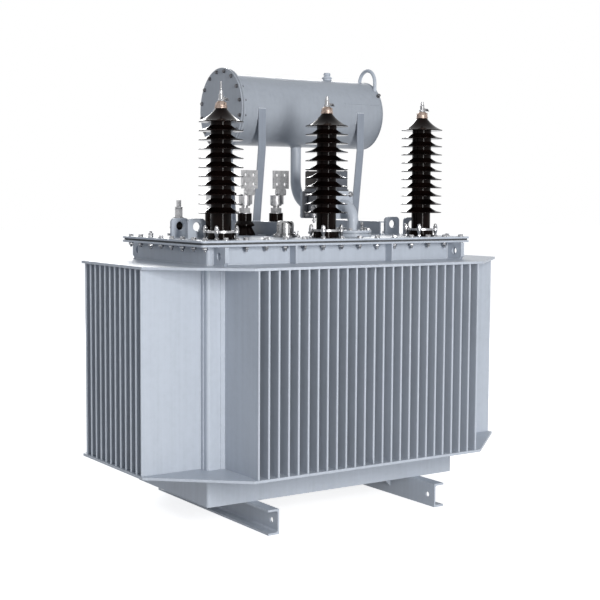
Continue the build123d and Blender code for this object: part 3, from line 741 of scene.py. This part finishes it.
def sampling_cock(bm):
    body = spot(PIPE_X - 50, COCK_Y, COCK_Z, (-1, 0, 0))
    lathe(bm, body, [(0, 0), (8.5, 0), (8.5, 4), (5.5, 6), (5.5, 22), (7.5, 23), (7.5, 32), (0, 32)], 16)
    drop = spot(PIPE_X - 77, COCK_Y, COCK_Z, (0, 0, -1), 0.3)
    lathe(bm, drop, [(0, 0), (6, 0), (6, 24), (8.5, 25), (8.5, 40), (5, 42), (5, 66), (0, 66)], 16)
    hexagon(bm, drop, 11.0, 8.0, 27.0, both=True)
    hexagon(bm, drop, 9.0, 6.0, 52.0, both=True)


def sampling_ring(bm):
    x, y, z = (PIPE_X - 82, COCK_Y - 6, COCK_Z)
    count = 24
    ring = []
    for k in range(count):
        angle = 2 * math.pi * k / count
        ring.append((x + 11 * math.cos(angle), y - 6 * math.cos(angle), z + 11 * math.sin(angle)))
    tube(bm, ring, 2.6, closed=True)


def sampling_nut(bm):
    hexagon(bm, spot(PIPE_X - 51, COCK_Y, COCK_Z, (-1, 0, 0)), 12.0, 8.0, 0.0, both=True)


piece("relay_flange_bolts", relay_flange_bolts, "plated_steel")
piece("relay_band", relay_band, "relay_casting")
piece("relay_cover", relay_cover, "relay_casting", brown_plastic)
piece("relay_screws", relay_screws, "plated_steel", dark_steel_and_shade)
piece("sampling_cock", sampling_cock, "plated_steel")
piece("sampling_ring", sampling_ring, "plated_steel")
piece("sampling_nut", sampling_nut, "bronze", brass)


# Bolts of the pipe's foot flange
def pad_bolts(bm):
    for k in range(PAD_BOLTS):
        angle = math.radians(45 * k)
        x = PIPE_X + PAD_CIRCLE * math.cos(angle)
        y = PAD_Y + PAD_CIRCLE * math.sin(angle)
        here = spot(x, y, PAD_TOP, turn=0.4 * k)
        washer(bm, here, 10.5, 2.0)
        if k == TALL_PAD_BOLT:
            hexagon(bm, here, 9.2, 9.0, 2.0, both=True)
            thread(bm, here, 6.0, 24.0, 11.0)
            hexagon(bm, here, 9.0, 8.0, 21.0, both=True)
        else:
            hexagon(bm, here, 9.2, 8.0, 2.0)


piece("pad_bolts", pad_bolts, "plated_steel")


# Conservator: bolts of the end plate, vent plug, cap ring
def plate_bolts(bm):
    rng = random.Random(12)
    for k in range(PLATE_BOLTS):
        angle = 2 * math.pi * (k + 0.5) / PLATE_BOLTS
        y = SHELL_Y + PLATE_CIRCLE * math.cos(angle)
        z = SHELL_Z + PLATE_CIRCLE * math.sin(angle)
        head = spot(PLATE_LEFT, y, z, (-1, 0, 0), rng.uniform(0, 1))
        washer(bm, head, 9.0, 1.8)
        hexagon(bm, head, 7.6, 6.0, 1.8)
        nut = spot(SHELL_LEFT, y, z, (1, 0, 0), rng.uniform(0, 1))
        hexagon(bm, nut, 7.6, 7.0, 0.0, both=True)
        thread(bm, nut, 4.4, 6.0, 7.0)


def vent_plug(bm):
    slope = math.radians(VENT_SLOPE)
    out = (0, -math.cos(slope), math.sin(slope))
    y = SHELL_Y - SHELL_R * math.cos(slope)
    z = SHELL_Z + SHELL_R * math.sin(slope)
    here = spot(VENT_X, y, z, out, 0.3)
    lathe(bm, here, [(0, -3), (9, -3), (9, 3), (6, 4.5), (6, 8), (8, 9), (8, 13), (5.5, 15), (0, 15)], 16)


def cap_ring(bm):
    here = spot(CAP_X, SHELL_Y, SHELL_Z + SHELL_R, turn=0.2)
    hexagon(bm, here, 24.5, 7.0, 9.0, both=True)
    lathe(bm, here, [(0, 24), (15.2, 24), (16.2, 26), (16.2, 32), (14.6, 35.5), (8, 37), (0, 37.5)], 20)


# The end plate's bolts are plated like the others. Their dark steel is painted shade for bolts that sit
# unlit.
piece("end_plate_bolts", plate_bolts, "plated_steel", dark_steel_and_shade)
piece("vent_plug", vent_plug, "plated_steel", dark_steel_and_shade)
piece("cap_ring", cap_ring, "paint", lug_paint)


# Weld beads
def resample(points, step, closed):
    """Evenly spaced points along straight runs."""
    ends = list(points) + ([points[0]] if closed else [])
    made = []
    for a, b in zip(ends, ends[1:]):
        a, b = Vector(a), Vector(b)
        count = max(1, round((b - a).length / step))
        made += [a.lerp(b, k / count) for k in range(count)]
    if not closed:
        made.append(Vector(ends[-1]))
    return made


weld_rng = random.Random(31)


def weld(bm, points, radius=BEAD, closed=False, step=4.0):
    """A rippled bead, thicker and thinner as a hand-laid one is."""
    places = resample(points, step, closed)
    swell = [1 + 0.14 * math.sin(1.9 * k) + weld_rng.uniform(-0.10, 0.10) for k in range(len(places))]
    tube(bm, places, radius, closed, 6, swell)


def box_loop(x, y, z, half_x, half_y):
    """The four corners of a level rectangle."""
    corners = ((-1, -1), (1, -1), (1, 1), (-1, 1))
    return [(x + sx * half_x, y + sy * half_y, z) for sx, sy in corners]


def circle(centre, radius, axis, count):
    aim = Vector(axis).to_track_quat("Z", "Y").to_matrix()
    made = []
    for k in range(count):
        angle = 2 * math.pi * k / count
        made.append(Vector(centre) + aim @ polar(radius, angle))
    return made


def tank_welds(bm):
    lug_ends = ((RIM_BOTTOM - 1, TANK_LUG_TOP_REACH), (UPPER_PLATE_TOP + 1, TANK_LUG_FOOT_REACH))
    weld(bm, box_loop(0, 0, UPPER_PLATE_TOP + 0.5, NECK_X + 0.5, NECK_Y + 0.5), HEAVY_BEAD, True)
    weld(bm, box_loop(0, 0, RIM_BOTTOM - 0.5, NECK_X + 0.5, NECK_Y + 0.5), SMALL_BEAD, True)
    weld(bm, box_loop(0, 0, LOWER_PLATE_BOTTOM - 0.5, NECK_X + 0.5, NECK_Y + 0.5), HEAVY_BEAD, True)
    for side in (-1, 1):
        wall = side * (NECK_Y + 0.5)
        for x in (-RIB_X, RIB_X):
            for dx in (-4, 4):
                weld(bm, [(x + dx, wall, UPPER_PLATE_TOP + 3), (x + dx, wall, RIM_BOTTOM - 3)], FINE_BEAD)
                weld(bm, [(x + dx, wall, BASE_RIB_BOTTOM), (x + dx, wall, LOWER_PLATE_BOTTOM - 3)], FINE_BEAD)
        for x in (-TANK_LUG_X, TANK_LUG_X):
            for dx in (-8, 8):
                weld(bm, [(x + dx, wall, UPPER_PLATE_TOP + 3), (x + dx, wall, RIM_BOTTOM - 3)], BEAD)
                for z, reach in lug_ends:
                    weld(bm, [(x + dx, wall + side * 4, z), (x + dx, side * reach, z)], FINE_BEAD)
    for side in (-1, 1):
        for x in (side * edge for edge in FOOT_EDGES):
            weld(bm, [(x, -NECK_Y + 4, TANK_FLOOR), (x, NECK_Y - 4, TANK_FLOOR)], HEAVY_BEAD)
        outer = side * GUSSET_OUTER
        for y in (middle - 4 for middle in GUSSET_YS):
            weld(bm, [(outer, y, GUSSET_TOP), (side * GUSSET_INNER, y, GUSSET_TOP + 1)], FINE_BEAD)
            weld(bm, [(outer, y, GUSSET_BOTTOM), (outer, y, GUSSET_TOP)], FINE_BEAD)


def cover_welds(bm):
    cradle = math.radians(LEG_WELD_SLOPE)
    for x in (-COVER_LUG_X, COVER_LUG_X):
        for y in COVER_LUG_YS:
            weld(bm, box_loop(x, y, COVER_TOP + 0.5, 40.5, 6.5), BEAD, True, 3.5)
    for x in BEAM_XS:
        for dx in (-BEAM_HALF - 0.5, BEAM_HALF + 0.5):
            y = BEAM_FRONT_Y + 10
            while y + STITCH_LENGTH < STITCH_END_Y:
                far_y = y + STITCH_LENGTH
                weld(bm, [(x + dx, y, COVER_TOP + 0.5), (x + dx, far_y, COVER_TOP + 0.5)], BEAD)
                y += STITCH_STEP
        for foot_y in LEG_FEET_Y:
            inward = 3 if foot_y < SHELL_Y else -3
            weld(bm, box_loop(x, foot_y + inward, BEAM_TOP + 0.5, LEG_HALF, 3.5), BEAD, True, 3.5)
        for side in (-1, 1):
            edge_y = SHELL_Y + side * (SHELL_R + 3)
            top_edge = [(x + dx, edge_y, SHELL_Z + 0.5) for dx in (-LEG_HALF, LEG_HALF)]
            weld(bm, top_edge, HEAVY_BEAD)
            low_y = SHELL_Y + side * SHELL_R * math.cos(cradle)
            low_z = SHELL_Z - SHELL_R * math.sin(cradle)
            for dx in (-LEG_HALF, LEG_HALF):
                low = (x + dx, low_y, low_z)
                high = (x + dx, SHELL_Y + side * (SHELL_R + 0.5), SHELL_Z)
                weld(bm, [low, high], FINE_BEAD)
    weld(bm, circle((PIPE_X, PAD_Y, COVER_TOP + 0.5), PAD_RADIUS + 0.5, (0, 0, 1), 100), PIPE_BEAD, True)
    weld(bm, circle((PIPE_X, PAD_Y, PAD_TOP + 0.5), PIPE_R + 1, (0, 0, 1), 36), PIPE_BEAD, True)
    for y in (FRONT_FLANGES[0] - 0.5, REAR_FLANGES[0] + 0.5):
        weld(bm, circle((PIPE_X, y, PIPE_Z), PIPE_R + 1, (0, 1, 0), 36), SMALL_BEAD, True)


def shell_welds(bm):
    weld(bm, circle((SHELL_RIGHT, SHELL_Y, SHELL_Z), SHELL_R, (1, 0, 0), 180), FINE_BEAD, True, 6.0)
    weld(bm, circle((SHELL_LEFT + 1, SHELL_Y, SHELL_Z), SHELL_R + 1, (1, 0, 0), 180), BEAD, True, 6.0)
    weld(bm, circle((PIPE_X, SHELL_Y, SHELL_Z - SHELL_R + 0.5), PIPE_R + 1, (0, 0, 1), 36), PIPE_BEAD, True)
    weld(bm, circle((CAP_X, SHELL_Y, SHELL_Z + SHELL_R), 20.5, (0, 0, 1), 32), FINE_BEAD, True)
    for y in EYE_YS:
        z = SHELL_Z + math.sqrt(SHELL_R ** 2 - (y - SHELL_Y) ** 2)
        tilt = Vector((0, y - SHELL_Y, z - SHELL_Z))
        weld(bm, circle((EYE_X, y, z), 9.5, tilt, 20), BEAD, True)
    seam = math.radians(SEAM_SLOPE)
    y = SHELL_Y - SHELL_R * math.cos(seam)
    z = SHELL_Z + SHELL_R * math.sin(seam)
    weld(bm, [(SEAM_LEFT, y, z), (SHELL_RIGHT - 3, y, z)], SEAM_BEAD)


piece("tank_welds", tank_welds, "paint", bead_paint, WELD_SHARP)
piece("cover_welds", cover_welds, "paint", bead_paint, WELD_SHARP)
piece("conservator_welds", shell_welds, "paint", shell_shaded_paint, WELD_SHARP)


# Floor, backdrop light and lamps
FLOOR_SIZE = 80
FLOOR_GLOW = 0.78
WORLD_STRENGTH = 0.40
LAMP_TARGET = (0, 0, 1.0)


def seen_factor(tree):
    """1 for rays that show the background: straight from the camera, or off or through an object."""
    path = tree.nodes.new("ShaderNodeLightPath")
    either = path.outputs["Is Camera Ray"]
    for other in ("Is Glossy Ray", "Is Transmission Ray"):
        added = tree.nodes.new("ShaderNodeMath")
        added.operation = "MAXIMUM"
        tree.links.new(either, added.inputs[0])
        tree.links.new(path.outputs[other], added.inputs[1])
        either = added.outputs[0]
    return either


def make_floor():
    bpy.ops.mesh.primitive_plane_add(size=FLOOR_SIZE)
    floor = bpy.context.object
    floor.name = "floor"
    look = Look("floor", Specular_IOR_Level=0.1)
    grain = look.noise(3.0, 3)
    look.use("Base Color", look.ramp(grain, [(0.3, (0.64, 0.64, 0.65)), (0.7, (0.68, 0.68, 0.68))]))
    look.use("Roughness", look.span(grain, 0.3, 0.7, 0.85, 0.95))
    look.shader.inputs["Emission Color"].default_value = (1, 1, 1, 1)
    look.use("Emission Strength", look.math("MULTIPLY", seen_factor(look.tree), FLOOR_GLOW))
    floor.data.materials.append(look.material)


def make_world():
    world = bpy.data.worlds.new("world")
    world.use_nodes = True
    scene.world = world
    tree = world.node_tree
    background = tree.nodes["Background"]
    background.inputs["Color"].default_value = (0.93, 0.98, 1.06, 1)
    background.inputs["Strength"].default_value = WORLD_STRENGTH
    seen = tree.nodes.new("ShaderNodeBackground")
    seen.inputs["Color"].default_value = (1, 1, 1, 1)
    seen.inputs["Strength"].default_value = 1.0
    mix = tree.nodes.new("ShaderNodeMixShader")
    tree.links.new(seen_factor(tree), mix.inputs["Fac"])
    tree.links.new(background.outputs["Background"], mix.inputs[1])
    tree.links.new(seen.outputs["Background"], mix.inputs[2])
    tree.links.new(mix.outputs["Shader"], tree.nodes["World Output"].inputs["Surface"])


def area_lamp(name, place, target, width, height, power, colour=(1, 1, 1)):
    data = bpy.data.lights.new(name, "AREA")
    data.shape = "RECTANGLE"
    data.size = width
    data.size_y = height
    data.energy = power
    data.color = colour
    lamp = bpy.data.objects.new(name, data)
    lamp.location = place
    lamp.rotation_euler = (Vector(target) - Vector(place)).to_track_quat("-Z", "Y").to_euler()
    scene.collection.objects.link(lamp)


make_floor()
make_world()
area_lamp("key", (-1.5, -7.1, 2.2), LAMP_TARGET, 1.0, 3.4, 420, (1.0, 0.99, 0.975))
area_lamp("back", (3.4, 6.2, 3.6), LAMP_TARGET, 3.0, 3.0, 230)
